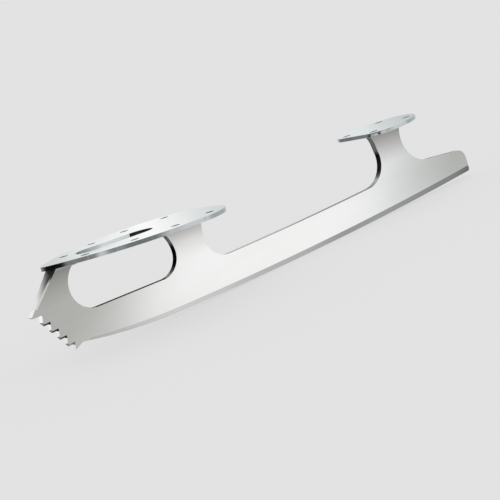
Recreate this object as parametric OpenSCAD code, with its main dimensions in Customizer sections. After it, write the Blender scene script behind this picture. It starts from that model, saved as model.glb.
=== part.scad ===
// Figure skate blade: a steel runner with three posts, a sole plate, a heel plate,
// a tapered toe strut and the braze that joins them.
// Frame: +X from toe to tail, +Z up, Y = 0 the blade's middle plane.
// Z = 0 is the ice under the rocker's lowest point, X = 0 is half way along the blade.
// Lengths along the blade are stations, counted back from the sole plate's nose.

/* [Overall] */
// Front of the sole plate to the back of the heel plate
plate_span = 249; // [225:1:300]
// Thickness of the blade steel
blade_thick = 4; // [3:0.1:5]
// First tooth's reach ahead of the sole plate
toe_reach = 14.9; // [13:0.1:19]
// Tail's reach behind the heel plate
tail_reach = 33.1; // [26:0.1:40]
// Height of the sole plate's top face at its nose
sole_height = 51.5; // [48:0.1:56]
// Height of the heel plate's top face
heel_height = 49.3; // [47:0.1:56]
// Fall of the sole plate from nose to rear, in degrees
sole_pitch = 3.2; // [0:0.1:4.5]

/* [Runner] */
// Radius of the main rocker, eight feet
rocker_radius = 2438; // [1830:1:2800]
// Station of the rocker's lowest point
balance = 158; // [140:1:165]
// Radius of the spin rocker under the ball of the foot
spin_radius = 320; // [260:5:450]
// Station where the spin rocker takes over
spin_start = 64; // [50:1:75]
// Depth of the runner from its top edge to the ice edge
runner_depth = 18.1; // [16:0.1:19.5]
// Radius of the hollow ground into the runner
hollow_radius = 11.1; // [8:0.1:19]
// Height of the ground relief band on the sides
relief_height = 2.75; // [1.5:0.05:4]
// Depth of the relief band
relief_depth = 0.12; // [0.05:0.01:0.3]
// Low point of the band's top edge ahead of the rocker's
relief_lead = 6; // [0:0.5:12]
// Radius of the band's top edge over the spin rocker
relief_sweep = 420; // [330:10:600]
// Rounding of the tail's top corner
tail_round = 5.5; // [3:0.1:8]
// Rounding of the tail's bottom corner
tail_foot = 1.5; // [0.5:0.1:3]
// Slope of the tail's top edge, in degrees
tail_slope = 7.5; // [2:0.5:12]

/* [Posts] */
// Station of the toe post's back edge at its waist
toe_back = 9.1; // [8:0.1:11]
// Middle post's front edge ahead of the sole plate's back
middle_post_front = 30; // [27:0.1:34]
// Middle post's back edge ahead of the sole plate's back
middle_post_back = 11.1; // [8:0.1:14]
// Heel post's front edge ahead of the heel plate's back
heel_post_front = 28.5; // [26:0.1:32]
// Heel post's back edge ahead of the heel plate's back
heel_post_back = 10; // [8:0.1:12]
// Height of the front opening's floor at the toe
open_floor = 22.3; // [21:0.1:23]
// Fall of that floor towards the middle post
open_fall = 1.6; // [0:0.1:2.5]
// Radius of the toe post's foot
toe_foot = 12.7; // [11:0.1:14]
// Radius of the toe post's top
toe_top = 14.5; // [13.8:0.1:17]
// Radius of the middle post's front foot
middle_foot = 11.6; // [10:0.1:13]
// Radius of the middle post's front top
middle_top = 18; // [16:0.1:22]
// Radius of the middle post's back foot
back_foot = 12.3; // [11:0.1:14]
// Radius of the middle post's back top
back_top = 30; // [20:0.5:40]
// Radius of the heel post's front foot
heel_foot = 14.7; // [13:0.1:16]
// Radius of the heel post's front top
heel_top = 16; // [15.2:0.1:20]
// Radius of the heel post's back foot
tail_arc = 16.8; // [15:0.1:18]
// Radius of the heel post's back top
tail_top = 19; // [16:0.1:24]

/* [Toe rake] */
// Height of the first tooth's tip
rake_top = 30.8; // [28:0.1:33]
// Reach of the second tooth's tip ahead of the sole plate
rake_reach = 10.3; // [9:0.1:12]
// Height of the second tooth's tip
rake_second = 26.3; // [25:0.1:27.5]
// Station of the drag pick's tip
drag_station = 1.2; // [-1:0.1:3]
// Height of the drag pick's tip
drag_height = 7.2; // [6:0.1:9]
// Teeth above the drag pick
tooth_count = 5; // [3:1:7]
// Setback of each tooth's root behind the next tip
tooth_hook = 1.1; // [0.2:0.1:1.5]
// Drop of each tooth's root below its tip
tooth_drop = 0.8; // [0.2:0.1:1.5]
// Slant of the cross cut, in degrees
cross_cut = 22; // [0:1:35]
// Slope of the leading edge, in degrees
lead_slope = 43.8; // [41:0.1:46]

/* [Plates] */
// Thickness of both plates
plate_thick = 2.2; // [1.5:0.1:2.8]
// Length of the sole plate
sole_length = 103.3; // [92:0.1:116]
// Width of the sole plate
sole_width = 72; // [62:0.5:80]
// Radius of the sole plate's nose
nose_radius = 5; // [4.5:0.1:8]
// Straight side between the sole plate's long curve and its rear corner
sole_straight = 7.5; // [2:0.5:14]
// Radius of the sole plate's rear corners
sole_corner = 30; // [18:0.5:31]
// Length of the heel plate
heel_length = 40.4; // [39:0.1:50]
// Width of the heel plate
heel_width = 47; // [42:0.5:54]
// Radius of the heel plate's front corners
heel_corner = 12; // [6:0.5:14]

/* [Sole plate slot] */
// Station of the slot's narrow end
slot_front = 21; // [18:0.5:24]
// Slot's wide end ahead of the sole plate's back
slot_back = 38.2; // [36:0.1:48]
// Radius of the narrow end
slot_small = 4; // [2:0.5:6]
// Radius of the wide end
slot_large = 8.5; // [6:0.5:10]

/* [Screw holes] */
// Diameter of every screw hole
hole_d = 4.6; // [3.5:0.1:5.5]
// Diameter of the countersink on the underside
sink_d = 6.6; // [5.8:0.1:7.5]
// Depth of the countersink
sink_depth = 0.7; // [0.3:0.1:1]
// Hole centres to the sole plate's edge
hole_margin = 9; // [7:0.1:10]
// Heel holes to the heel plate's front edge
heel_hole_front = 5; // [4.5:0.1:8]
// Heel hole spacing along the blade
heel_hole_run = 25.5; // [20:0.5:26]
// Heel hole spacing across the blade
heel_hole_span = 25; // [18:0.5:26]

/* [Toe strut] */
// Thickness of the strut
strut_thick = 1; // [0.8:0.1:2]
// Width of the strut under the plate
strut_width = 9; // [7:0.1:9.4]
// Length of bare leading edge below the strut
strut_start = 4.6; // [3:0.1:8]

/* [Braze] */
// Leg of the braze fillet
braze_leg = 1.8; // [1:0.1:2]

/* [Hidden] */
$fn = 72;
overall = toe_reach + plate_span + tail_reach;
nose_x = toe_reach - overall / 2;
tail = plate_span + tail_reach;
heel_under = heel_height - plate_thick;
edge_half = blade_thick / 2 - relief_depth;
hollow_depth = hollow_radius - sqrt(pow(hollow_radius, 2) - pow(edge_half, 2));
sole_holes = [0.184, 0.405, 0.622, 0.852] * sole_length;
sole_full = sole_length - sole_corner - sole_straight;
slot_rear = sole_length - slot_back;
middle_front = sole_length - middle_post_front;
middle_back = sole_length - middle_post_back;
cut_far = 40;
hollow_bite = 0.03;

// Height of the sole plate's underside over a station
function sole_under(x) = sole_height - x * tan(sole_pitch) - plate_thick / cos(sole_pitch);

// Points along an arc in the side view
function arc(c, r, a, b, n = 14) =
    [for (i = [0 : n]) c + r * [cos(a + (b - a) * i / n), sin(a + (b - a) * i / n)]];

// An outline without the points that two arcs share
function single(pts) = [for (i = [0 : len(pts) - 1]) if (i == 0 || norm(pts[i] - pts[i - 1]) > 0.001) pts[i]];

// Angle between an arc's upward normal and the place where it reaches a plate
function reach(gap, r) = acos(min(0.999, gap / r));

// A post's edge is two arcs that meet upright at its waist: a foot and a top.
// The side is 1 for an edge that faces the tail and -1 for one that faces the toe.
function foot_arc(x, floor, r, side) =
    arc([x + side * r, floor + r], r, side > 0 ? 180 : -90, side > 0 ? 270 : 0, 10);
function top_arc(x, waist, r, side, gap, lean) = let (a = 90 - lean + side * reach(gap, r))
    arc([x + side * r, waist], r, side > 0 ? a : 0, side > 0 ? 180 : a, 10);

// Fall in height from a waist to the plate, at the centre of the post's top arc
function sole_gap(x, waist) = (sole_under(x) - waist) * cos(sole_pitch);

// Rocker and spin rocker share a tangent where they meet
function rocker_z(x) = rocker_radius - sqrt(pow(rocker_radius, 2) - pow(x - balance, 2));
spin_tilt = asin((balance - spin_start) / rocker_radius);
spin_c = [spin_start, rocker_z(spin_start)] + spin_radius * [sin(spin_tilt), cos(spin_tilt)];
function spin_z(x) = spin_c[1] - sqrt(pow(spin_radius, 2) - pow(x - spin_c[0], 2));
drag_back = drag_station + 5.2;
foot_x = tail - tail_foot;
foot_c = [foot_x, rocker_radius - sqrt(pow(rocker_radius - tail_foot, 2) - pow(foot_x - balance, 2))];
foot_tilt = asin((foot_x - balance) / (rocker_radius - tail_foot));

// Relief band's top edge: an arc along the rocker runs on into a tighter one over the spin rocker
band_c = [balance - relief_lead, rocker_radius + relief_height];
band_tilt = asin((band_c[0] - spin_start) / rocker_radius);
sweep_c = band_c - (rocker_radius - relief_sweep) * [sin(band_tilt), cos(band_tilt)];
function band_z(x) =
    x > spin_start ? band_c[1] - sqrt(pow(rocker_radius, 2) - pow(x - band_c[0], 2)) :
    sweep_c[1] - sqrt(pow(relief_sweep, 2) - pow(x - sweep_c[0], 2));
band_front = drag_back + 4;
band_run = tail + 1 - band_front;

// Runner's top edge follows the rocker
function runner_z(x) = rocker_z(x) + runner_depth;
heel_fore_x = plate_span - heel_post_front;
heel_aft_x = plate_span - heel_post_back;
toe_waist = open_floor + toe_foot;
middle_waist = open_floor - open_fall + middle_foot;
back_floor = runner_z(middle_back + back_foot);
back_waist = back_floor + back_foot;
fore_floor = runner_z(heel_fore_x - heel_foot);
fore_waist = fore_floor + heel_foot;
aft_floor = runner_z(heel_aft_x + tail_arc);
aft_waist = aft_floor + tail_arc;
toe_gap = sole_gap(toe_back + toe_top, toe_waist);
middle_gap = sole_gap(middle_front - middle_top, middle_waist);
back_gap = sole_gap(middle_back + back_top, back_waist);

// Edges of the three posts at the plates, each drawn from the plate to its waist
toe_edge = top_arc(toe_back, toe_waist, toe_top, 1, toe_gap, sole_pitch);
back_edge = top_arc(middle_back, back_waist, back_top, 1, back_gap, sole_pitch);
aft_edge = top_arc(heel_aft_x, aft_waist, tail_top, 1, heel_under - aft_waist, 0);

// Tail: the top edge leaves the heel post's foot at a slope and ends in a round corner
aft_c = [heel_aft_x + tail_arc, aft_waist];
aft_end = aft_c + tail_arc * [cos(270 - tail_slope), sin(270 - tail_slope)];
tail_c = [tail - tail_round,
    aft_end[1] - tan(tail_slope) * (tail - tail_round - aft_end[0]) - tail_round / cos(tail_slope)];

// Toe: one proud tooth, then an even rake down to the drag pick
tip_first = [-toe_reach, rake_top];
tip_second = [-rake_reach, rake_second];
tip_step = ([drag_station, drag_height] - tip_second) / (tooth_count - 1);
function tip(i) = i == 0 ? tip_first : tip_second + (i - 1) * tip_step;
function slant(i) = i == 0 ? 0 : cross_cut;
function sink(i) = [0, blade_thick / 2 * tan(slant(i))];
function root(i) = [tip(i + 1)[0] + tooth_hook, tip(i)[1] - tooth_drop] - sink(i);

// Leading edge: bare at the bottom, then a seat for the strut
lead = [cos(lead_slope), sin(lead_slope)];
lead_out = [-sin(lead_slope), cos(lead_slope)];
seat_out = tip_first + strut_start * lead;
seat = seat_out - strut_thick * lead_out;
seat_run = (sole_under(seat[0]) - seat[1]) / (lead[1] + tan(sole_pitch) * lead[0]);
seat_top = seat + seat_run * lead;

// Side view of the whole blade
outline = single(concat(
    [seat_top],
    toe_edge,
    foot_arc(toe_back, open_floor, toe_foot, 1),
    foot_arc(middle_front, open_floor - open_fall, middle_foot, -1),
    top_arc(middle_front, middle_waist, middle_top, -1, middle_gap, sole_pitch),
    back_edge,
    foot_arc(middle_back, back_floor, back_foot, 1),
    [for (i = [1 : 9]) let (x = middle_back + back_foot
        + (heel_fore_x - heel_foot - middle_back - back_foot) * i / 10) [x, runner_z(x)]],
    foot_arc(heel_fore_x, fore_floor, heel_foot, -1),
    top_arc(heel_fore_x, fore_waist, heel_top, -1, heel_under - fore_waist, 0),
    aft_edge,
    arc(aft_c, tail_arc, 180, 270 - tail_slope, 10),
    arc(tail_c, tail_round, 90 - tail_slope, 0, 10),
    arc(foot_c, tail_foot, 0, foot_tilt - 90, 6),
    [for (i = [1 : 23]) let (x = foot_x - (foot_x - spin_start) * i / 24) [x, rocker_z(x)]],
    [for (i = [0 : 12]) let (x = spin_start - (spin_start - drag_back) * i / 12) [x, spin_z(x)]],
    [tip(tooth_count), tip_second, tip_first, seat_out, seat]));

// A side-view shape given its thickness
module across(width) {
    rotate([90, 0, 0])
    linear_extrude(height = width, center = true)
    children();
}

// Places a shape in the sole plate's own frame, top face at zero
module on_sole() {
    translate([0, 0, sole_height])
    rotate([0, sole_pitch, 0])
    children();
}

// Places a shape against the sole plate's underside
module under_sole() {
    on_sole()
    translate([0, 0, -plate_thick])
    children();
}

module blade_blank() {
    across(blade_thick)
    polygon(outline);
}

// One slanted groove of the toe rake, level with the tips on the near side
module groove(i) {
    low = 2 * (tip(i + 1) - sink(i)) - root(i);
    translate([0, 0, root(i)[1]])
    rotate([-slant(i), 0, 0])
    across(cut_far)
    polygon([[root(i)[0], 0], [root(i)[0] - 12, 0], low - [0, root(i)[1]]]);
}

// Round groove ground along a rocker of a given centre and radius, between two stations
module hollow(c, r, from, to) {
    intersection() {
        translate([c[0], 0, c[1]])
        rotate([90, 0, 0])
        rotate_extrude($fn = 3600)
        translate([r - hollow_depth - hollow_bite + hollow_radius, 0])
        circle(r = hollow_radius, $fn = 120);
        translate([from, -cut_far / 2, -cut_far / 4])
        cube([to - from, cut_far, cut_far / 2]);
    }
}

// Shallow ground band low on one side, from its top edge down past the ice edge
module relief(side) {
    translate([0, side * blade_thick / 2, 0])
    across(2 * relief_depth)
    polygon(concat(
        [for (i = [0 : 40]) let (x = band_front + band_run * i / 40) [x, band_z(x)]],
        [[band_front + band_run, -cut_far / 4], [band_front, -cut_far / 4]]));
}

module runner_blade() {
    color([0.80, 0.81, 0.80])
    translate([nose_x, 0, 0])
    difference() {
        blade_blank();
        for (i = [0 : tooth_count - 1]) groove(i);
        hollow([balance, rocker_radius], rocker_radius, spin_start, tail + 1);
        hollow(spin_c, spin_radius, drag_back + 1, spin_start);
        for (side = [-1, 1]) relief(side);
    }
}

// Tapered strip brazed to the leading edge, cut off under the sole plate
module strut_blank() {
    run = seat_run * 1.3;
    flare = blade_thick / 2 + (strut_width - blade_thick) / 2 * 1.3;
    translate([seat[0], 0, seat[1]])
    rotate([0, -lead_slope, 0])
    linear_extrude(height = strut_thick)
    polygon([[0, -blade_thick / 2], [run, -flare], [run, flare], [0, blade_thick / 2]]);
}

module toe_strut() {
    color([0.78, 0.80, 0.80])
    translate([nose_x, 0, 0])
    difference() {
        strut_blank();
        on_sole()
        translate([-cut_far, -cut_far, -plate_thick])
        cube([3 * cut_far, 2 * cut_far, cut_far]);
    }
}

// Sole plate: nose, two long side arcs, round rear corners
half = sole_width / 2;
side_r = (pow(sole_full - nose_radius, 2) + pow(half, 2) - pow(nose_radius, 2)) / (2 * (half - nose_radius));
side_c = [sole_full, half - side_r];
side_a = atan2(-side_c[1], nose_radius - sole_full);
corner_c = [sole_length - sole_corner, half - sole_corner];
sole_left = single(concat(
    arc(corner_c, sole_corner, 0, 90),
    arc(side_c, side_r, 90, side_a, 20),
    arc([nose_radius, 0], nose_radius, side_a, 180, 10)));
sole_outline = concat(sole_left, [for (i = [len(sole_left) - 2 : -1 : 0]) [sole_left[i][0], -sole_left[i][1]]]);

// Half width of the sole plate at a station
function sole_half(u) =
    u < sole_full ? side_c[1] + sqrt(pow(side_r, 2) - pow(u - sole_full, 2)) :
    u < corner_c[0] ? half :
    corner_c[1] + sqrt(pow(sole_corner, 2) - pow(u - corner_c[0], 2));

// Screw hole, countersunk from below
module screw_hole(x, y) {
    translate([x, y, -plate_thick - 1])
    cylinder(d = hole_d, h = plate_thick + 2);
    translate([x, y, -plate_thick])
    cylinder(d1 = sink_d, d2 = hole_d, h = sink_depth);
}

// Long slot, narrow in front and wide behind
module sole_slot() {
    a = [slot_front + slot_small, 0];
    b = [slot_rear - slot_large, 0];
    lean = asin((slot_large - slot_small) / (b[0] - a[0]));
    translate([0, 0, -plate_thick - 1])
    linear_extrude(height = plate_thick + 2)
    polygon(concat(
        arc(a, slot_small, 90 + lean, 270 - lean, 10),
        arc(b, slot_large, -90 - lean, 90 + lean, 20)));
}

module sole_plate() {
    color([0.84, 0.87, 0.87])
    translate([nose_x, 0, 0])
    on_sole()
    difference() {
        translate([0, 0, -plate_thick])
        linear_extrude(height = plate_thick)
        polygon(sole_outline);
        sole_slot();
        for (u = sole_holes, side = [-1, 1]) screw_hole(u, side * (sole_half(u) - hole_margin));
    }
}

// Heel plate: round behind, round corners in front
heel_front = plate_span - heel_length;
heel_half = heel_width / 2;
heel_left = single(concat(
    arc([plate_span - heel_half, 0], heel_half, 0, 90, 20),
    arc([heel_front + heel_corner, heel_half - heel_corner], heel_corner, 90, 180, 10)));
heel_outline = concat(heel_left, [for (i = [len(heel_left) - 1 : -1 : 1]) [heel_left[i][0], -heel_left[i][1]]]);

module heel_plate() {
    color([0.84, 0.87, 0.87])
    translate([nose_x, 0, heel_height])
    difference() {
        translate([0, 0, -plate_thick])
        linear_extrude(height = plate_thick)
        polygon(heel_outline);
        for (u = [0, heel_hole_run], side = [-1, 1])
            screw_hole(heel_front + heel_hole_front + u, side * heel_hole_span / 2);
    }
}

// Section of a concave braze fillet, from the plate to the post
bead = arc([blade_thick / 2 + braze_leg, -braze_leg], braze_leg, 90, 180, 8);

// Braze along both sides of a post, drawn from the plate's underside
module braze_run(from, to) {
    translate([from - braze_leg, 0, 0])
    rotate([90, 0, 90])
    linear_extrude(height = to - from + 2 * braze_leg)
    polygon(concat(bead, [for (i = [len(bead) - 1 : -1 : 0]) [-bead[i][0], bead[i][1]]]));
}

// Rounds off both ends of a braze run
module braze_ends(from, to) {
    edge = blade_thick / 2;
    across(cut_far)
    polygon(concat(
        [[to + braze_leg, 1]],
        [for (p = bead) [to + p[0] - edge, p[1]]],
        [for (i = [len(bead) - 1 : -1 : 0]) [from + edge - bead[i][0], bead[i][1]]],
        [[from - braze_leg, 1]]));
}

// Top of a post up to its back edge, carried on through the plate to cut a fillet with
module post_top(edge, from) {
    across(blade_thick)
    polygon(concat(
        [2 * edge[0] - edge[1]],
        [for (i = [0 : 8]) edge[i]],
        [[from, edge[8][1]], [from, edge[0][1] + 5]]));
}

// Braze round one post: the run comes first, then the shape that rounds its ends
module braze(edge) {
    intersection() {
        difference() {
            children(0);
            post_top(edge, edge[0][0] - cut_far);
        }
        children(1);
    }
}

module toe_braze() {
    color([0.66, 0.63, 0.58])
    translate([nose_x, 0, 0])
    difference() {
        braze(toe_edge) {
            under_sole() braze_run(seat_top[0], toe_edge[0][0]);
            under_sole() braze_ends(seat_top[0], toe_edge[0][0]);
        }
        translate([seat[0], 0, seat[1]])
        rotate([0, -lead_slope, 0])
        translate([-cut_far, -cut_far, 0])
        cube([3 * cut_far, 2 * cut_far, cut_far]);
    }
}

module middle_braze() {
    from = middle_front - 3.2;
    color([0.66, 0.63, 0.58])
    translate([nose_x, 0, 0])
    braze(back_edge) {
        under_sole() braze_run(from, back_edge[0][0]);
        under_sole() braze_ends(from, back_edge[0][0]);
    }
}

module heel_braze() {
    from = heel_fore_x - 4;
    color([0.66, 0.63, 0.58])
    translate([nose_x, 0, 0])
    braze(aft_edge) {
        translate([0, 0, heel_under]) braze_run(from, aft_edge[0][0]);
        translate([0, 0, heel_under]) braze_ends(from, aft_edge[0][0]);
    }
}

runner_blade();
toe_strut();
sole_plate();
heel_plate();
toe_braze();
middle_braze();
heel_braze();
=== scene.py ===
# %% [markdown]
# A figure skate blade, dressed for its picture.
# The imported solids are the frame. They could be shaded as they stand, but their corners are sharp and
# their meshes are never changed, so each piece below is a copy of its solid that takes its place.
# Two forms are corrected in the copies: the front end of the slot and the front of the heel post.
# This first cell brings the solids in.

# %% bring in the imported solids
import math
import bmesh
import bpy
from mathutils import Matrix, Vector


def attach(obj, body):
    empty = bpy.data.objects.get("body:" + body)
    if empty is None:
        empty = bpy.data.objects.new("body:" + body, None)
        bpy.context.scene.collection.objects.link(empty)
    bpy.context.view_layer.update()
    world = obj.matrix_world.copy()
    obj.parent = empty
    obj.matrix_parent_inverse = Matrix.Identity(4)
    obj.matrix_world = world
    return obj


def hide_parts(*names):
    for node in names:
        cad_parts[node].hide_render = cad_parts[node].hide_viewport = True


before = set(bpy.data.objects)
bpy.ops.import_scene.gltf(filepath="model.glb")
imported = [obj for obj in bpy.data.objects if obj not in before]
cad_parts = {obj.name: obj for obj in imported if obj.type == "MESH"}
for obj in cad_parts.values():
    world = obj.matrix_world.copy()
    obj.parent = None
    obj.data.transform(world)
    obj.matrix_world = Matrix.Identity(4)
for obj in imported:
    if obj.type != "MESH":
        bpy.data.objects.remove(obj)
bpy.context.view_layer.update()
MM = 0.001
print("solids:", sorted(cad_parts))

# %% [markdown]
# Shader maths could be wired by hand, box by box, but it is easier to read and to mend as sums.
# A Wire holds one output socket. Adding or multiplying wires puts Math nodes into the same tree,
# and make() adds any other node: its settings go first, because some of them change its sockets.

# %% a socket that does arithmetic


class Wire:
    def __init__(self, socket):
        self.socket = socket
        self.tree = socket.id_data

    @staticmethod
    def make(tree, kind, settings=None, sockets=None, out=0):
        node = tree.nodes.new(kind)
        for name, value in (settings or {}).items():
            setattr(node, name, value)
        for name, value in (sockets or {}).items():
            if isinstance(value, Wire):
                tree.links.new(value.socket, node.inputs[name])
            else:
                node.inputs[name].default_value = value
        return Wire(node.outputs[out])

    def maths(self, operation, left, right=0.0):
        return Wire.make(self.tree, "ShaderNodeMath", {"operation": operation}, {0: left, 1: right})

    def __add__(self, other):
        return self.maths("ADD", self, other)

    def __radd__(self, other):
        return self.maths("ADD", other, self)

    def __sub__(self, other):
        return self.maths("SUBTRACT", self, other)

    def __rsub__(self, other):
        return self.maths("SUBTRACT", other, self)

    def __mul__(self, other):
        return self.maths("MULTIPLY", self, other)

    def __rmul__(self, other):
        return self.maths("MULTIPLY", other, self)

    def __truediv__(self, other):
        return self.maths("DIVIDE", self, other)

    def step(self, low, high):
        """0 below low, 1 above high and a smooth rise between."""
        return Wire.make(self.tree, "ShaderNodeMapRange", {"interpolation_type": "SMOOTHSTEP"},
                         {"Value": self, "From Min": low, "From Max": high, "To Min": 0.0, "To Max": 1.0})

    def dot(self, axis):
        return Wire.make(self.tree, "ShaderNodeVectorMath", {"operation": "DOT_PRODUCT"},
                         {0: self, 1: axis}, out="Value")

    def blend(self, low, high):
        """A colour between low, where this wire is 0, and high, where it is 1."""
        return Wire.make(self.tree, "ShaderNodeMix", {"data_type": "RGBA"},
                         {0: self, 6: low, 7: high}, out=2)

    def ramp(self, stops):
        """A colour that passes through the (value, colour) stops in turn."""
        low, high = stops[0][0], stops[-1][0]
        wire = Wire.make(self.tree, "ShaderNodeValToRGB", sockets={"Fac": (self - low) / (high - low)})
        band = wire.socket.node.color_ramp
        band.interpolation = "EASE"
        for value, colour in stops[1:-1]:
            band.elements.new((value - low) / (high - low)).color = colour
        band.elements[0].color = stops[0][1]
        band.elements[-1].color = stops[-1][1]
        return wire


print("a Wire adds, multiplies, steps, blends and ramps")

# %% [markdown]
# Polished plate is a mirror, so most of what the camera sees on it is the studio.
# A finish could be one flat grey, but real metal always varies a little. Here it is a tint, a roughness
# and a faint unevenness, all from noise that is stretched the way the tool went.
# One function starts every finish: it hands back the tree, the shader and the place on the blade.

# %% a metal to start every finish from
ALONG, ACROSS, UP = (1, 0, 0), (0, 1, 0), (0, 0, 1)


def grey(value, red=1.0, green=1.0, blue=1.0):
    return (value * red, value * green, value * blue, 1.0)


def new_metal(name, glance=None):
    """A low glance keeps the metal dark where it is seen nearly edge on."""
    material = bpy.data.materials.new(name)
    material.use_nodes = True
    tree = material.node_tree
    shader = next(n for n in tree.nodes if n.type == "BSDF_PRINCIPLED")
    shader.inputs["Metallic"].default_value = 1.0
    if glance is not None:
        shader.inputs["Specular Tint"].default_value = grey(glance)
    place = Wire.make(tree, "ShaderNodeTexCoord", out="Object")
    return material, tree, shader, place


def grain(tree, place, scale, detail=3.0):
    """Noise with its own fineness, per metre, along X, Y and Z."""
    stretched = Wire.make(tree, "ShaderNodeMapping", sockets={"Vector": place, "Scale": scale})
    return Wire.make(tree, "ShaderNodeTexNoise",
                     sockets={"Vector": stretched, "Scale": 1.0, "Detail": detail})


def roughen(tree, shader, height, strength, depth):
    bump = Wire.make(tree, "ShaderNodeBump",
                     sockets={"Height": height, "Strength": strength, "Distance": depth})
    tree.links.new(bump.socket, shader.inputs["Normal"])


def feed(tree, shader, socket, wire):
    tree.links.new(wire.socket, shader.inputs[socket])


print("every finish is measured from the blade's own axes")

# %% [markdown]
# Just below each plate the side of a post turns a darker, warm grey. This is painted shade: the plate's
# dark underside, as the steel would mirror it. It could be painted by hand, but a height does it for
# every post at once.
# The painted shade follows the height under the nearest plate: the sole plate falls towards the rear and
# the heel plate is level. Under the heel plate the painted shade reaches lower.

# %% how far a point lies under its plate
NOSE_X = -133.6 * MM
SOLE_UNDER = 49.3 * MM
SOLE_FALL = math.tan(math.radians(3.2))
HEEL_UNDER = 47.1 * MM
HEEL_SHADE_DROP = 3.0 * MM
ARCH_X = 25.0 * MM
ARCH_TURN = 2 * MM


def under_plate(place):
    x, z = place.dot(ALONG), place.dot(UP)
    at_heel = x.step(ARCH_X - ARCH_TURN, ARCH_X + ARCH_TURN)
    sole = SOLE_UNDER - SOLE_FALL * (x - NOSE_X)
    return sole + at_heel * (HEEL_UNDER - HEEL_SHADE_DROP - sole) - z


print("the haze changes plates at", ARCH_X / MM, "mm behind the middle")

# %% [markdown]
# The sides of the runner are plated and buffed along the blade. A bump alone could show the buffing,
# but on a mirror it would look scratched. So it is mostly a slight change of gloss in long soft streaks,
# with a few hairlines that are only just felt.

# %% polished side
STREAKS = (14, 90, 90)
HAIRLINES = (60, 5200, 5200)
HAIR_DEPTH = 0.02 * MM


def polished_side():
    material, tree, shader, place = new_metal("polished_side")
    haze = grain(tree, place, STREAKS)
    hair = grain(tree, place, HAIRLINES, 2.0)
    # painted shade: the side darkens to a warm grey just below each plate
    plate_shade = 1.0 - (under_plate(place) + 4 * MM * (haze - 0.5)).step(-6 * MM, 20 * MM)
    plated = haze.step(0.3, 0.7).blend(grey(0.91, 1.0, 1.0, 0.985), grey(0.945))
    feed(tree, shader, "Base Color", plate_shade.blend(plated, grey(0.30, 1.05, 0.99, 0.97)))
    feed(tree, shader, "Roughness", 0.075 + 0.03 * haze + 0.02 * hair + 0.06 * plate_shade)
    roughen(tree, shader, hair, 0.03, HAIR_DEPTH)
    return material


side_finish = polished_side()
print("made", side_finish.name)

# %% [markdown]
# Low on both sides the plating is ground away to bare steel, so that a sharpening stone meets steel.
# The wheel leaves fine lines along the runner, drawn as noise stretched along X. A ramp along the blade
# darkens the steel towards the tail. One flat grey would hide the wheel.

# %% ground band
WHEEL_LINES = (45, 6500, 6500)
MARK_DEPTH = 0.03 * MM


def ground_band():
    material, tree, shader, place = new_metal("ground_band")
    lines = grain(tree, place, WHEEL_LINES, 4.0)
    along = place.dot(ALONG) + 30 * MM * (lines - 0.5)
    feed(tree, shader, "Base Color", along.ramp((
        (-85 * MM, grey(0.72)),
        (12 * MM, grey(0.47)),
        (45 * MM, grey(0.36)),
        (85 * MM, grey(0.41, 0.97, 1.0, 0.99)),
        (135 * MM, grey(0.39, 0.97, 1.0, 0.98)),
        (148 * MM, grey(0.26, 0.97, 1.0, 0.98)),
    )))
    feed(tree, shader, "Roughness", 0.10 + 0.08 * lines)
    roughen(tree, shader, lines, 0.08, MARK_DEPTH)
    return material


band_finish = ground_band()
print("made", band_finish.name)

# %% [markdown]
# The narrow edges of the blank are cut and filed, so they stay darker than the buffed sides, and their
# grey is darkened further as a painted reflection of the dark studio. The cuts under the teeth and the
# floor of
# the front opening are darker still: painted shade. The top of the tail is dark too: a painted dark
# reflection.
# All four are one recipe with other greys. A mirror brightens when it is seen nearly edge on, as these
# faces are, so the dark ones also get a low glance.

# %% cut edges
FILE_MARKS = (2600, 900, 900)
FILE_CLOUDS = (160, 160, 160)


def cut_metal(name, dark, light, rough, glance=1.0):
    """A cut face between two greys."""
    material, tree, shader, place = new_metal(name, glance)
    marks = grain(tree, place, FILE_MARKS)
    soft = grain(tree, place, FILE_CLOUDS)
    shade = (0.5 * marks + 0.5 * soft).blend(grey(dark, 0.96, 1.0, 1.0), grey(light, 0.96, 1.0, 1.0))
    feed(tree, shader, "Base Color", shade)
    feed(tree, shader, "Roughness", rough + 0.10 * marks)
    roughen(tree, shader, marks, 0.05, MARK_DEPTH)
    return material


# filed edges with painted dark reflection; painted shade in the cuts and the opening; painted dark
# reflection on the tail's top
edge_and_painted_dark_finish = cut_metal("cut_edge_and_painted_dark", 0.24, 0.40, 0.08)
groove_shade_finish = cut_metal("cut_in_painted_shade", 0.02, 0.07, 0.18, 0.15)
rake_shade_finish = cut_metal("rake_in_painted_shade", 0.04, 0.10, 0.18, 0.35)
tail_dark_reflection_finish = cut_metal("tail_top", 0.09, 0.17, 0.12, 0.25)
print("made", edge_and_painted_dark_finish.name, groove_shade_finish.name, rake_shade_finish.name, "and", tail_dark_reflection_finish.name)

# %% [markdown]
# The grey of a post's front is painted reflection: lighter at its top and at its foot, and near black in
# the waist between them, where a mirror front would show the dark studio. Three materials with a border
# would show a line, so one material changes with the height.

# %% post fronts
UPRIGHT_MARKS = (900, 900, 2600)


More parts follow.
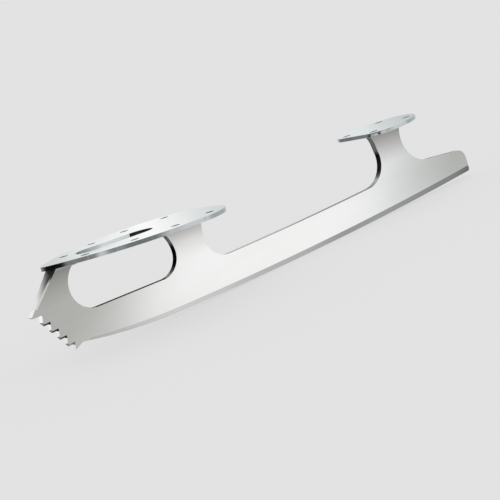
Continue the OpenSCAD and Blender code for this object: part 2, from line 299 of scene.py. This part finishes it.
def post_front_painted_reflection():
    material, tree, shader, place = new_metal("post_front_painted_reflection", glance=0.30)
    marks = grain(tree, place, UPRIGHT_MARKS)
    height = place.dot(UP) + 1.0 * MM * (marks - 0.5)
    # painted reflection: light at the foot, near black in the waist, grey at the top
    feed(tree, shader, "Base Color", height.ramp((
        (20.7 * MM, grey(0.55, 0.94, 1.0, 1.0)),
        (21.6 * MM, grey(0.42, 0.94, 1.0, 1.0)),
        (22.4 * MM, grey(0.18, 0.94, 1.0, 1.0)),
        (23.6 * MM, grey(0.07)),
        (25.5 * MM, grey(0.015)),
        (33.8 * MM, grey(0.015)),
        (35.4 * MM, grey(0.12, 0.93, 1.0, 1.0)),
        (37.0 * MM, grey(0.34, 0.92, 1.0, 1.0)),
        (47.0 * MM, grey(0.34, 0.92, 1.0, 1.0)),
    )))
    feed(tree, shader, "Roughness", 0.14 + 0.10 * marks)
    roughen(tree, shader, marks, 0.05, MARK_DEPTH)
    return material


post_finish = post_front_painted_reflection()
print("made", post_finish.name)

# %% [markdown]
# The long floor of the arch, between the two rear posts, is lighter towards the front and dark near the
# heel, so its ramp runs along the blade.

# %% arch floor
CROSS_MARKS = (900, 2600, 900)


def arch_floor():
    material, tree, shader, place = new_metal("arch_floor", glance=0.90)
    marks = grain(tree, place, CROSS_MARKS)
    along = place.dot(ALONG) + 6 * MM * (marks - 0.5)
    feed(tree, shader, "Base Color", along.ramp((
        (-30 * MM, grey(0.36, 0.96, 1.0, 1.0)),
        (5 * MM, grey(0.36, 0.96, 1.0, 1.0)),
        (45 * MM, grey(0.07, 0.96, 1.0, 1.0)),
        (90 * MM, grey(0.07, 0.96, 1.0, 1.0)),
    )))
    feed(tree, shader, "Roughness", 0.12 + 0.08 * marks)
    roughen(tree, shader, marks, 0.05, MARK_DEPTH)
    return material


arch_finish = arch_floor()
print("made", arch_finish.name)

# %% [markdown]
# The two plates are stamped from sheet and plated. Sheet is never quite flat, so the mirror in it
# wavers a little. The mesh could be dented for that, but a shallow bump of broad noise is enough.

# %% plate faces
SHEET_WAVES = (55, 55, 55)
SHEET_SPECKLE = (900, 900, 900)
WAVE_DEPTH = 0.4 * MM


def plated_sheet():
    material, tree, shader, place = new_metal("plated_sheet")
    waver = grain(tree, place, SHEET_WAVES, 2.0)
    fine = grain(tree, place, SHEET_SPECKLE)
    cloud = 0.7 * waver + 0.3 * fine
    feed(tree, shader, "Base Color",
         cloud.blend(grey(0.92, 0.985, 1.0, 1.0), grey(0.98, 0.995, 1.0, 1.0)))
    feed(tree, shader, "Roughness", 0.05 + 0.05 * waver + 0.02 * fine)
    roughen(tree, shader, waver + 0.06 * fine, 0.06, WAVE_DEPTH)
    return material


plate_finish = plated_sheet()
print("made", plate_finish.name)

# %% [markdown]
# The rim of a plate is sheared, so it shows fine upright lines and reflects about half as much as the
# face. Over the middle and heel posts it is brighter and more satin: a painted highlight. Round the nose
# it is near black: a painted dark reflection. Each of these is a stretch along X with soft ends, so one
# material serves both plates and no faces have to be cut.

# %% plate rims
SHEAR_LINES = (1500, 1500, 120)
SHEAR_PATCHES = (130, 130, 40)
SHEAR_DEPTH = 0.04 * MM


def stretch(x, start, full, fade, end):
    """1 from full to fade, in mm along the blade, with soft ends."""
    return x.step(start * MM, full * MM) * (1.0 - x.step(fade * MM, end * MM))


def sheared_rim():
    material, tree, shader, place = new_metal("sheared_rim")
    lines = grain(tree, place, SHEAR_LINES)
    patches = grain(tree, place, SHEAR_PATCHES, 2.0)
    x = place.dot(ALONG)
    # painted highlight over the middle and heel posts, painted dark reflection round the nose
    painted_highlight = stretch(x, -82, -69, -61, -52) + stretch(x, 78, 81, 91, 98)
    painted_dark_nose = stretch(x, -133.3, -132.6, -128.0, -125.0)
    uneven = (0.4 * lines + 0.6 * patches).step(0.3, 0.7)
    sheared = uneven.blend(grey(0.50, 0.97, 1.0, 1.01), grey(0.66, 0.97, 1.0, 1.01))
    rim_with_highlight = painted_highlight.blend(sheared, grey(0.78, 0.97, 1.0, 1.01))
    feed(tree, shader, "Base Color", painted_dark_nose.blend(rim_with_highlight, grey(0.06)))
    feed(tree, shader, "Roughness", 0.08 + 0.10 * lines + 0.20 * painted_highlight)
    roughen(tree, shader, lines, 0.06, SHEAR_DEPTH)
    return material


rim_finish = sheared_rim()
print("made", rim_finish.name)

# %% [markdown]
# The slot's long sides keep the satin of the punch, and turn darker towards the front end: painted
# shade. They are so short that a mirror would only flicker, so the finish is rough and its grey does the
# work.

# %% slot sides


def slot_side():
    material, tree, shader, place = new_metal("slot_side")
    lines = grain(tree, place, SHEAR_LINES)
    along = place.dot(ALONG) + 3 * MM * (lines - 0.5)
    # painted shade at the slot's front end, fading to bright satin
    feed(tree, shader, "Base Color", along.ramp((
        (-113 * MM, grey(0.36)),
        (-110 * MM, grey(0.29)),
        (-105 * MM, grey(0.48, 0.95, 1.0, 1.01)),
        (-99 * MM, grey(0.68, 0.94, 1.0, 1.02)),
        (-92 * MM, grey(0.97, 0.98, 1.0, 1.01)),
        (-70 * MM, grey(0.97)),
    )))
    feed(tree, shader, "Roughness", 0.55 + 0.10 * lines)
    roughen(tree, shader, lines, 0.06, SHEAR_DEPTH)
    return material


slot_finish = slot_side()
print("made", slot_finish.name)

# %% [markdown]
# The strut's face is polished too, but its top, tucked in under the nose, is painted near black: painted
# shade under the nose. The painted shade reaches further down on the near side, so its reach changes
# across the strip, and a cloud of noise breaks its border.

# %% strut face
SHADE_CLOUD = (260, 260, 160)
STRUT_HAIRLINES = (900, 5200, 900)
SHADE_REACH = 7.0 * MM
SHADE_SLANT = 0.85


def strut_face():
    material, tree, shader, place = new_metal("strut_face", glance=0.70)
    cloud = grain(tree, place, SHADE_CLOUD)
    hair = grain(tree, place, STRUT_HAIRLINES, 2.0)
    reach = SHADE_REACH - SHADE_SLANT * place.dot(ACROSS)
    # painted shade: near black close under the nose, reaching lower on the near side
    painted_shade = 1.0 - (under_plate(place) - reach + 2.5 * MM * (cloud - 0.5)).step(-6 * MM, 8 * MM)
    feed(tree, shader, "Base Color", painted_shade.blend(grey(0.93), grey(0.012, 1.05, 1.0, 0.97)))
    feed(tree, shader, "Roughness", 0.08 + 0.05 * cloud + 0.02 * hair)
    roughen(tree, shader, hair, 0.03, HAIR_DEPTH)
    return material


strut_finish = strut_face()
print("made", strut_finish.name)

# %% [markdown]
# The strip's own thin edges are filed to a pale satin, which draws a light line down the front of the
# blade. A second material is simpler than a mask, because an edge has faces of its own. Close under the
# plate it is near black, painted shade like that on the face.

# %% strut edges


def strut_edge():
    material, tree, shader, place = new_metal("strut_edge")
    marks = grain(tree, place, UPRIGHT_MARKS)
    depth = under_plate(place) + 1.0 * MM * (marks - 0.5)
    # painted shade close under the plate, pale satin below
    feed(tree, shader, "Base Color", depth.ramp((
        (2.0 * MM, grey(0.03)),
        (3.5 * MM, grey(0.05)),
        (6.5 * MM, grey(0.74, 1.03, 1.0, 0.96)),
        (12.0 * MM, grey(0.88, 1.03, 1.0, 0.96)),
        (20.0 * MM, grey(0.97, 1.01, 1.0, 0.98)),
    )))
    feed(tree, shader, "Roughness", 0.48 + 0.10 * marks)
    roughen(tree, shader, marks, 0.05, MARK_DEPTH)
    return material


strip_finish = strut_edge()
print("made", strip_finish.name)

# %% [markdown]
# Braze runs into the corner between post and plate and sets with a soft, slightly lumpy skin.
# The lumps could be sculpted, but they are far smaller than the fillet, so a bump makes them.
# The heat leaves the braze warmer and greyer than the plate round it.

# %% braze skin
LUMPS = (420, 420, 420)
LUMP_SPECKLE = (3000, 3000, 3000)
LUMP_DEPTH = 0.3 * MM


def braze_skin():
    material, tree, shader, place = new_metal("braze_skin")
    lumps = grain(tree, place, LUMPS)
    fine = grain(tree, place, LUMP_SPECKLE, 2.0)
    skin = 0.7 * lumps + 0.3 * fine
    feed(tree, shader, "Base Color",
         skin.blend(grey(0.32, 1.04, 1.0, 0.97), grey(0.50, 1.04, 0.99, 0.97)))
    feed(tree, shader, "Roughness", 0.26 + 0.16 * lumps)
    roughen(tree, shader, lumps + 0.15 * fine, 0.35, LUMP_DEPTH)
    return material


braze_finish = braze_skin()
print("made", braze_finish.name)

# %% [markdown]
# A real edge is never sharp: a file or a buffing wheel has taken its corner off, and that thin round
# catches the light. A Bevel modifier could do it, but a bmesh lets each piece hold some corners back.
# A solid's mesh is loose triangles, so its copy is welded first and its flat faces are joined. Then
# dress() may change the copy's form, and the bevel comes last. One very short edge would shrink the
# whole bevel, so such places are held back with spare().

# %% a welded copy with eased corners
WELD = 0.002 * MM
SAME_PLANE = math.radians(0.02)
CORNER = math.radians(38)


def nothing(_):
    """Holds no corner back and changes no form."""


def eased_copy(node, width, steps, spare=nothing, dress=nothing):
    """A bmesh of a CAD node, dressed, with every corner eased that spare() doesn't hold back."""
    bm = bmesh.new()
    bm.from_mesh(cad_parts[node].data)
    bmesh.ops.remove_doubles(bm, verts=bm.verts, dist=WELD)
    bmesh.ops.dissolve_limit(bm, angle_limit=SAME_PLANE, verts=bm.verts, edges=bm.edges)
    dress(bm)
    folds = [e for e in bm.edges if len(e.link_faces) == 2 and e.calc_face_angle() > CORNER]
    corners = [e for e in folds if not spare(e)]
    bmesh.ops.bevel(bm, geom=corners, offset=width, offset_type="OFFSET", segments=steps, profile=0.5,
                    affect="EDGES", material=-1, clamp_overlap=True, loop_slide=True)
    print(node, "eased", len(corners), "edges into", len(bm.faces), "faces")
    return bm


print("folds of more than", round(math.degrees(CORNER)), "degrees count as corners")

# %% [markdown]
# A finished copy becomes an object that stands in for its solid. Shading has to be smooth round the
# curves and flat on the faces. Marking sharp edges by their angle and weighting the normals by face
# area does both, and an edge between two finishes is kept sharp so that neither bleeds into the other.

# %% a piece in place of its solid
FLAT = math.radians(20)


def piece_from(bm, name, node, finishes):
    """Puts a finished bmesh into the scene in place of its CAD node."""
    for face in bm.faces:
        face.smooth = True
    for edge in bm.edges:
        one_finish = len({f.material_index for f in edge.link_faces}) == 1
        edge.smooth = one_finish and edge.calc_face_angle(math.pi) < FLAT
    mesh = bpy.data.meshes.new(name)
    bm.to_mesh(mesh)
    bm.free()
    for finish in finishes:
        mesh.materials.append(finish)
    piece = bpy.data.objects.new(name, mesh)
    bpy.context.scene.collection.objects.link(piece)
    weighted = piece.modifiers.new("flat faces stay flat", "WEIGHTED_NORMAL")
    weighted.keep_sharp = True
    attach(piece, "root")
    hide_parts(node)
    return piece


print("faces that meet at under", round(math.degrees(FLAT)), "degrees shade as one")

# %% [markdown]
# The runner is one flat piece of steel. A skater needs its ice edges sharp, so they aren't eased, and
# neither are the small step of the ground band and the low pick of the toe rake, where two corners
# almost meet.

# %% corners of the runner that stay sharp
STEP_MIDDLE = 1.94 * MM
STEP_REACH = 0.03 * MM
ICE_TOP = 6.5 * MM
PICK_BACK = -115.0 * MM
RAKE_LOW, RAKE_HIGH = 12.0 * MM, 28.0 * MM


def stays_sharp(edge):
    out = [abs(f.calc_center_median().y) for f in edge.link_faces]
    on_step = any(abs(y - STEP_MIDDLE) < STEP_REACH for y in out)
    on_pick = all(v.co.x < PICK_BACK and v.co.z < RAKE_LOW for v in edge.verts)
    return on_step or on_pick or min(v.co.z for v in edge.verts) < ICE_TOP


print("corners lower than", ICE_TOP / MM, "mm stay sharp")

# %% [markdown]
# The runner carries eight finishes. Its faces could be picked by number, but the numbers change with
# every new build, so each face takes the finish that its direction and place call for: polished sides
# and tooth fronts, the ground band with the hollow, filed edges partly darkened as painted reflection,
# post fronts in painted reflection, the arch's floor, the top of the tail in painted dark reflection,
# and the cuts under the teeth and the floor of the front opening, both in painted shade.

# %% the finish of each face of the runner
RAKE_BACK = -124.0 * MM
OPEN_BACK = -62.0 * MM
OPEN_MIDDLE = 28.0 * MM
TAIL_X = 100.0 * MM
LOOKS_OUT = 0.5
SIDE_FLAT = 0.98
FLOOR_UP, TOP_UP = 0.3, 0.7
FRONT_LEAN = -0.12
UNDER_LEAN, SOLE_DOWN = -0.15, -0.6
SIDE, BAND, EDGE, GROOVE, ARCH, POST, TAIL, RAKE = range(8)


def runner_finish(face):
    centre, normal = face.calc_center_median(), face.normal
    in_opening = centre.x < OPEN_BACK and centre.z < OPEN_MIDDLE
    in_rake = centre.x < RAKE_BACK
    looks_ahead = normal.x < -LOOKS_OUT
    if in_opening and normal.z > FLOOR_UP and normal.x > FRONT_LEAN:
        return GROOVE
    if abs(normal.y) > LOOKS_OUT:
        return SIDE if abs(centre.y) > STEP_MIDDLE or abs(normal.y) < SIDE_FLAT else BAND
    if in_rake and normal.z < UNDER_LEAN:
        return RAKE if not looks_ahead and RAKE_LOW < centre.z < RAKE_HIGH else EDGE
    if in_rake and looks_ahead:
        return SIDE
    if normal.z < SOLE_DOWN and centre.z < RAKE_LOW:
        return BAND
    if normal.x < FRONT_LEAN:
        return POST
    if normal.z > TOP_UP:
        return ARCH if centre.x < TAIL_X else TAIL
    return EDGE


runner_finishes = [side_finish, band_finish, edge_and_painted_dark_finish, groove_shade_finish,
                   arch_finish, post_finish, tail_dark_reflection_finish, rake_shade_finish]
print("the runner has", len(runner_finishes), "finishes")

# %% [markdown]
# On the real blade the front of the heel post widens less under the plate than on the solid. The post
# could be cut anew, but then its braze would no longer meet it. Sliding the points of the flare back,
# by an amount that grows with the height, keeps every face and moves the end of the braze alike.

# %% the front of the heel post, drawn in
FLARE_FRONT, FLARE_REAR = 70.0 * MM, 92.0 * MM
FLARE_FOOT = 36.5 * MM
FLARE_DRAW = 4.2 * MM
FLARE_BEND = 1.5


def draw_in_heel(bm):
    """Draws the front of the heel post in, most of all at the plate."""
    for vert in bm.verts:
        if FLARE_FRONT < vert.co.x < FLARE_REAR and vert.co.z > FLARE_FOOT:
            height = (vert.co.z - FLARE_FOOT) / (HEEL_UNDER - FLARE_FOOT)
            bmesh.ops.translate(bm, vec=(FLARE_DRAW * height ** FLARE_BEND, 0.0, 0.0), verts=[vert])


print("the heel post's front is drawn in by", FLARE_DRAW / MM, "mm at the plate")

# %% [markdown]
# Now the runner can be made: a copy with its flare drawn in and its corners eased by a fine round, as a
# buffing wheel leaves them, and each face handed its finish.

# %% runner
RUNNER_EASE, RUNNER_STEPS = 0.2 * MM, 2

bm = eased_copy("runner_blade", RUNNER_EASE, RUNNER_STEPS, stays_sharp, draw_in_heel)
for face in bm.faces:
    face.material_index = runner_finish(face)
counts = [sum(f.material_index == i for f in bm.faces) for i in range(len(runner_finishes))]
piece_from(bm, "runner", "runner_blade", runner_finishes)
print("runner faces by finish:", counts)

# %% [markdown]
# The strut is a thin strip on the leading edge, wider under the sole plate. It is sheet like the plates,
# so it is eased by the same amount, apart from the edges that run down to its foot: there the strip has
# to stay as thin as it is.

# %% strut
SHEET_EASE, SHEET_STEPS = 0.25 * MM, 3
FOOT_REACH = 1.5 * MM
STRIP_OUT = 0.6
FRONT, STRIP = range(2)

strut_foot = min(v.co.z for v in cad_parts["toe_strut"].data.vertices)


def runs_to_foot(edge):
    return min(v.co.z for v in edge.verts) < strut_foot + FOOT_REACH


bm = eased_copy("toe_strut", SHEET_EASE, SHEET_STEPS, runs_to_foot)
for face in bm.faces:
    face.material_index = STRIP if abs(face.normal.y) > STRIP_OUT else FRONT
piece_from(bm, "strut", "toe_strut", [strut_finish, strip_finish])
print("the strut's foot is", round(strut_foot / MM, 1), "mm above the ice")

# %% [markdown]
# A plate's walls fall into groups that hang together: its rim, the slot and the screw holes.
# Each could be found by its place, but walking from face to face finds them on any plate.
# Sorted by length, the longest group is the rim and, on the sole plate, the next one is the slot.

# %% walls of a plate
UPRIGHT = 0.8


def groups_of(faces):
    left, groups = set(faces), []
    while left:
        group, front = [], [left.pop()]
        while front:
            face = front.pop()
            group.append(face)
            beside = {f for e in face.edges for f in e.link_faces} & left
            left -= beside
            front.extend(beside)
        groups.append(group)
    return groups


def length_of(group):
    along = [v.co.x for f in group for v in f.verts]
    return max(along) - min(along)


def walls_of(bm):
    upright = (f for f in bm.faces if abs(f.normal.z) < UPRIGHT)
    return sorted(groups_of(upright), key=length_of, reverse=True)


print("a wall is a face that looks less than", UPRIGHT, "up or down")

# %% [markdown]
# The sole plate's slot has long straight sides and two round ends. The solid's slot narrows in front,
# so the copy's front end is scaled about its tip: across, until the sides run along the blade, and
# along, so that the end stays round. Scaling keeps the walls whole, where a new cut would not.

# %% the slot's front end, opened
SLOT_TURN = -106.0 * MM
SLOT_HALF = 9.0 * MM
SLOT_ROUND = 2.0


def straighten_slot(bm):
    """Opens the slot's narrow front end, so that its long sides run along the blade."""
    front = {v for f in walls_of(bm)[1] for v in f.verts if v.co.x < SLOT_TURN}
    narrow = max(v.co.y for v in front)
    tip = min(v.co.x for v in front)
    bmesh.ops.scale(bm, vec=(SLOT_ROUND, SLOT_HALF / narrow, 1.0), verts=list(front),
                    space=Matrix.Translation((-tip, 0.0, 0.0)))
    print("slot's front end opened from", round(narrow / MM, 2), "to", SLOT_HALF / MM, "mm half width")


print("the slot is opened where it lies ahead of", SLOT_TURN / MM, "mm")

# %% [markdown]
# Groups of walls about as wide as a screw are drilled holes: the front ones take the rim's finish and
# the rear ones the darker edge finish. The group left over is the slot, with satin sides and a back end
# in painted shade. Naming the finishes in this way keeps the loop the same for both plates.

# %% plates
HOLE_WIDTH = 9.0 * MM
FRONT_HOLES_X = -75.0 * MM
BACK_LEAN = -0.05
FACE, RIM, PUNCHED, DRILLED, SLOT = range(5)


def wall_finish(number, group, face):
    if number == 0:
        return RIM
    if length_of(group) < HOLE_WIDTH:
        return DRILLED if face.calc_center_median().x > FRONT_HOLES_X else RIM
    return PUNCHED if face.normal.x < BACK_LEAN else SLOT


plate_finishes = [plate_finish, rim_finish, groove_shade_finish, edge_and_painted_dark_finish, slot_finish]
plates = (("sole_plate", "sole", straighten_slot), ("heel_plate", "heel", nothing))
for node, name, dress in plates:
    bm = eased_copy(node, SHEET_EASE, SHEET_STEPS, dress=dress)
    walls = walls_of(bm)
    for number, group in enumerate(walls):
        for face in group:
            face.material_index = wall_finish(number, group, face)
    print(name, "has", len(walls), "walls, the longest", round(length_of(walls[0]) / MM, 1), "mm")
    piece_from(bm, name, node, plate_finishes)

# %% [markdown]
# The three fillets of braze are soft already, so only their long rims are eased, by very little.
# The heel's fillet follows the drawn-in post. The other two lie outside that reach and stay as they are,
# so one loop serves all three.

# %% braze
BRAZE_EASE, BRAZE_STEPS = 0.08 * MM, 1

for post in ("toe", "middle", "heel"):
    bm = eased_copy(post + "_braze", BRAZE_EASE, BRAZE_STEPS, dress=draw_in_heel)
    piece_from(bm, post + "_fillet", post + "_braze", [braze_finish])

# %% [markdown]
# The floor is a pale table that is lit a little from below, as for a product picture, so the shade
# of the blade stays faint. A plain white floor would need strong lamps to look this even.
# It is kept out of the mirror: the steel shows the studio's cards instead.

# %% floor
PAPER = 0.766
GLOW = 0.75
FLOOR_SIZE = 4.0

bm = bmesh.new()
bmesh.ops.create_grid(bm, x_segments=1, y_segments=1, size=FLOOR_SIZE)
mesh = bpy.data.meshes.new("floor")
bm.to_mesh(mesh)
bm.free()
paper = bpy.data.materials.new("paper")
paper.use_nodes = True
shader = next(n for n in paper.node_tree.nodes if n.type == "BSDF_PRINCIPLED")
shader.inputs["Base Color"].default_value = grey(PAPER * (1.0 - GLOW))
shader.inputs["Roughness"].default_value = 1.0
shader.inputs["Specular IOR Level"].default_value = 0.0
shader.inputs["Emission Color"].default_value = grey(PAPER)
shader.inputs["Emission Strength"].default_value = GLOW
mesh.materials.append(paper)
floor = bpy.data.objects.new("floor", mesh)
bpy.context.scene.collection.objects.link(floor)
floor.visible_glossy = False
print("floor laid,", 2 * FLOOR_SIZE, "m wide")

# %% [markdown]
# The camera stands low, to the left of the toe, and is rolled so that the blade climbs to the right.
# A constraint could aim it, but a matrix made from where it stands and what it looks at is read at once.

# %% camera
LENS, SENSOR = 104.5, 36.0
STAND = Vector((-427.59, -650.24, 142.76)) * MM
AIM = Vector((-15.61, 0.07, 15.25)) * MM
ROLL = math.radians(-19.14)

lens = bpy.data.cameras.new("camera")
lens.lens = LENS
lens.sensor_width = SENSOR
camera = bpy.data.objects.new("camera", lens)
bpy.context.scene.collection.objects.link(camera)
turn = (AIM - STAND).to_track_quat("-Z", "Y").to_matrix().to_4x4()
camera.matrix_world = Matrix.Translation(STAND) @ turn @ Matrix.Rotation(ROLL, 4, "Z")
bpy.context.scene.camera = camera
print("camera is", round((AIM - STAND).length, 3), "m from the blade")

# %% [markdown]
# Lamps and boards could stand round the blade, but a sky needs no meshes, and what a mirror shows of it
# depends only on the direction in which the mirror looks. Two numbers name a direction: how far it is
# turned from the white panel that stands where the blade's side looks, and how far it rises above the
# horizon.

# %% directions in the studio
right = camera.matrix_world.to_3x3() @ Vector((1, 0, 0))
ahead = camera.matrix_world.to_3x3() @ Vector((0, 0, -1))
flip = Vector((1, -1, 1))
panel_across, panel_ahead = right * flip, ahead * flip
world = bpy.data.worlds.new("studio")
bpy.context.scene.world = world
world.use_nodes = True
tree = world.node_tree
tree.nodes.clear()
look = Wire.make(tree, "ShaderNodeTexCoord", out="Generated")
facing = look.dot(tuple(panel_ahead))
turned = look.maths("ARCTAN2", look.dot(tuple(panel_across)), facing)
rise = look.dot(UP)
print("the white panel stands towards", [round(v, 2) for v in panel_ahead])

# %% [markdown]
# At eye level stand the cards that the side and the sole plate's rim see: the white panel with grey
# beyond both its ends, slate on the side where the photographer stands, then a lit gap and an olive
# screen. One ramp round the studio holds them all, so a card is moved by changing one number.

# %% cards at eye level
cards = turned.ramp((
    (-2.10, grey(0.28, 0.95, 1.0, 1.05)),
    (-1.76, grey(0.27, 0.95, 1.0, 1.05)),
    (-1.60, grey(0.32, 1.0, 0.98, 0.85)),
    (-1.40, grey(0.24, 1.0, 0.98, 0.85)),
    (-1.31, grey(0.24, 0.94, 1.0, 1.0)),
    (-1.25, grey(0.95)),
    (-1.19, grey(0.95)),
    (-1.13, grey(0.25, 0.92, 1.03, 1.03)),
    (-0.48, grey(0.27, 0.92, 1.03, 1.03)),
    (-0.34, grey(0.68, 0.97, 1.0, 1.01)),
    (-0.24, grey(0.93, 0.97, 1.0, 1.01)),
    (-0.205, grey(0.93)),
    (-0.175, grey(0.40, 1.0, 1.01, 0.95)),
    (-0.104, grey(0.41, 1.0, 1.01, 0.95)),
    (-0.060, grey(0.97)),
    (0.084, grey(0.97)),
    (0.109, grey(0.68, 0.96, 1.0, 1.02)),
    (0.136, grey(0.40, 1.0, 1.01, 0.95)),
    (0.175, grey(0.40, 1.0, 1.01, 0.95)),
    (0.205, grey(0.95, 0.97, 1.0, 1.01)),
    (0.30, grey(0.95, 0.97, 1.0, 1.01)),
    (0.46, grey(0.66, 0.95, 1.0, 1.0)),
    (2.60, grey(0.66, 0.95, 1.0, 1.0)),
    (2.80, grey(0.28, 0.95, 1.0, 1.05)),
))
print("cards hung at eye level")

# %% [markdown]
# The rim of the heel plate looks a little lower than that of the sole plate, so a lower row of cards
# gives it its own dark spots and leaves the upper row alone. Lower still the pale floor takes over, and
# it is brighter towards the panel.

# %% cards below eye level
LOW_EDGE = (-0.104, -0.096)
LOW_END = (-0.95, -0.85)
CARD_FOOT = (-0.24, -0.18)

low_cards = turned.ramp((
    (-3.10, grey(0.28, 0.95, 1.0, 1.05)),
    (-2.98, grey(0.03)),
    (-2.64, grey(0.03)),
    (-2.48, grey(0.95, 0.97, 1.0, 1.01)),
    (-1.80, grey(0.95, 0.97, 1.0, 1.01)),
    (-1.72, grey(0.08)),
    (-1.50, grey(0.08)),
    (-1.40, grey(0.95, 0.97, 1.0, 1.01)),
    (-0.85, grey(0.95, 0.97, 1.0, 1.01)),
))
low = (1.0 - rise.step(*LOW_EDGE)) * (1.0 - turned.step(*LOW_END))
cards = low.blend(cards, low_cards)
bounce = (0.5 + 0.5 * facing).blend(grey(0.36), grey(0.80))
cards = rise.step(*CARD_FOOT).blend(bounce, cards)
print("cards hung below eye level")

# %% [markdown]
# Above the horizon a back wall runs from white, behind the toe, to a cool grey behind the heel: the tops
# of the plates see it. Over it hangs an even white dome, so that views from above stay bright. A low
# dark doorway, below the horizon, is what the nose's rim sees.

# %% back wall, dome and doorway
HORIZON = (-0.04, 0.0)
DOME = (0.22, 0.42)
DOOR_LEFT, DOOR_RIGHT = (-2.75, -2.60), (-1.82, -1.72)
DOOR_TOP = (0.03, 0.08)

wall = turned.ramp((
    (1.920, grey(0.60, 0.93, 1.0, 1.01)),
    (1.936, grey(0.68, 0.94, 1.0, 1.0)),
    (1.950, grey(0.80, 0.95, 1.0, 1.0)),
    (1.965, grey(0.82, 0.95, 1.0, 1.0)),
    (2.040, grey(0.68, 0.94, 1.0, 1.0)),
    (2.055, grey(0.74, 0.96, 1.0, 1.0)),
    (2.075, grey(0.88, 0.99, 1.0, 1.0)),
    (2.095, grey(0.99)),
    (2.110, grey(0.90, 0.99, 1.0, 1.0)),
    (2.140, grey(0.80, 0.97, 1.0, 1.0)),
    (2.165, grey(0.66, 0.98, 1.0, 1.0)),
    (2.500, grey(0.97)),
))
wall = rise.step(*DOME).blend(wall, grey(0.92))
cards = rise.step(*HORIZON).blend(cards, wall)
doorway = turned.step(*DOOR_LEFT) * (1.0 - turned.step(*DOOR_RIGHT))
doorway = doorway * rise.step(*LOW_EDGE) * (1.0 - rise.step(*DOOR_TOP))
cards = doorway.blend(cards, grey(0.005))
print("wall, dome and doorway built")

# %% [markdown]
# Matt things see an even white sky and the camera sees plain paper. Only mirrors see the cards.
# Light Path tells the three apart, so the floor stays even while the steel keeps its contrast.

# %% studio light
path = tree.nodes.new("ShaderNodeLightPath")
seen = Wire(path.outputs["Is Camera Ray"])
mirrored = Wire(path.outputs["Is Glossy Ray"])
colour = seen.blend(mirrored.blend(grey(1.0), cards), grey(PAPER))
sky = Wire.make(tree, "ShaderNodeBackground", sockets={"Color": colour, "Strength": 1.0})
out = tree.nodes.new("ShaderNodeOutputWorld")
tree.links.new(sky.socket, out.inputs["Surface"])
bpy.context.scene.view_settings.view_transform = "Standard"
print("studio lit")
